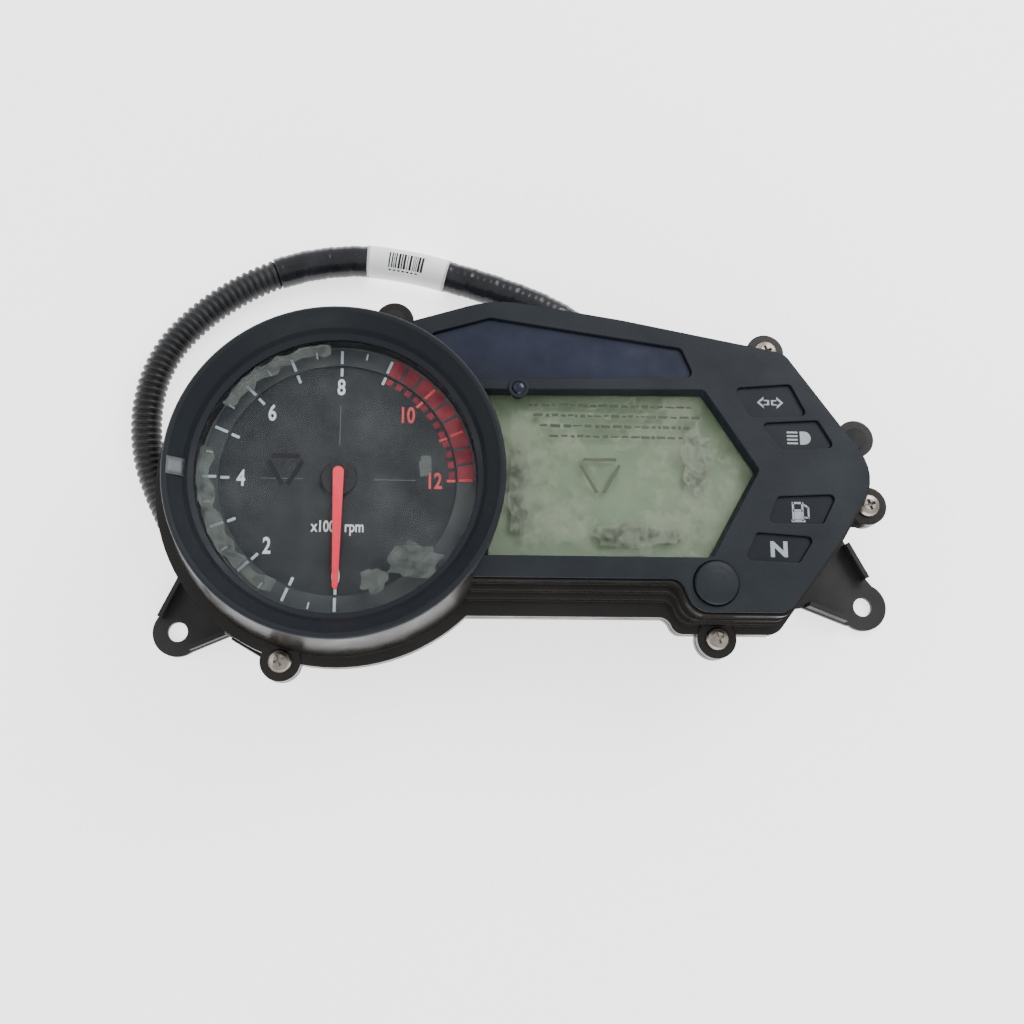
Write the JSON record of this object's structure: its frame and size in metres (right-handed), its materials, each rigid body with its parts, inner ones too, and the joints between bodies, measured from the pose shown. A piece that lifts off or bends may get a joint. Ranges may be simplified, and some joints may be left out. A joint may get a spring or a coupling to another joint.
{
  "type": "motorcycle instrument cluster",
  "caption": "Instrument cluster with a round tachometer overlapping a wide display panel, warning windows, a push button, a lugged bracket and a wiring harness.",
  "frame": {"origin": "middle of the body's footprint, on the bracket's underside", "axes": "+Z out of the dial's face, +X to the right across the display, +Y to the top of the display"},
  "size_m": [0.2624, 0.1578, 0.0576],
  "materials": {
    "mask_plastic": "textured",
    "case_plastic": "satin",
    "black_rubber": "matte",
    "nickel_steel": "plated",
    "clear_lens": "polished",
    "clear_film": "cloudy",
    "smoked_lens": "polished",
    "telltale_lens": "satin",
    "black_plastic": "satin",
    "dial_print": "printed",
    "needle_red": "painted",
    "white_plastic": "satin",
    "magnet": "ground",
    "lcd_green": "satin",
    "contact_rubber": "matte",
    "board_green": "lacquered",
    "led_amber": "clear",
    "capacitor_blue": "sleeved",
    "black_steel": "powder coated",
    "conduit_black": "corrugated and taped",
    "label_paper": "printed",
    "wire_colours": "insulated",
    "lock_red": "satin"
  },
  "bodies": {
    "housing": {"front_mask": "mask_plastic", "front_case": "case_plastic", "rear_case": "case_plastic", "breather_vent": "case_plastic", "gasket": "black_rubber", "lobe_plug": "black_rubber", "button_seal": "black_rubber", "harness_grommet": "black_rubber", "case_screws": "nickel_steel", "bracket_screws": "nickel_steel", "board_screws": "nickel_steel", "button_spring": "nickel_steel", "tacho_lens": "clear_lens", "lcd_lens": "clear_lens", "tacho_film": "clear_film", "lcd_film": "clear_film", "warning_lens": "smoked_lens", "sensor_window": "smoked_lens", "turn_lens": "telltale_lens", "beam_lens": "telltale_lens", "fuel_lens": "telltale_lens", "neutral_lens": "telltale_lens", "tact_switch": "black_plastic", "dial_surround": "black_plastic", "motor_case": "black_plastic", "motor_lid": "black_plastic", "control_chip": "black_plastic", "dial_plate": "dial_print", "chapter_ring": "dial_print", "light_box": "white_plastic", "lcd_backlight": "white_plastic", "wire_header": "white_plastic", "harness_connector": "white_plastic", "lcd_glass": "lcd_green", "lcd_connector": "contact_rubber", "circuit_board": "board_green", "board_leds": "led_amber", "board_capacitors": "capacitor_blue", "bracket": "black_steel", "harness_conduit": "conduit_black", "harness_label": "label_paper", "harness_wires": "wire_colours", "connector_lock": "lock_red"},
    "needle": {"needle_pointer": "needle_red", "needle_hub": "black_plastic", "output_gear": "white_plastic"},
    "rotor": {"rotor": "magnet"},
    "button": {"mode_button": "mask_plastic"}
  },
  "joints": [
    {"name": "needle_sweep", "type": "hinge", "parent": "housing", "child": "needle", "pos_m": [-0.0625, 0, 0.0423], "axis": [0, 0, -1], "range_deg": [0, 270]},
    {"name": "rotor_spin", "type": "hinge", "parent": "housing", "child": "rotor", "pos_m": [-0.0625, -0.012, 0.033], "axis": [0, 0, -1], "range_deg": [-810, 0]},
    {"name": "button_press", "type": "slide", "parent": "housing", "child": "button", "axis": [0, 0, -1], "range_m": [0, 0.0015], "stiffness_N_per_m": 400, "springref_m": -0.0015, "deforming": ["button_spring"]}
  ],
  "couplings": [
    {"joint": "rotor_spin", "follows": "needle_sweep", "ratio": -3}
  ]
}
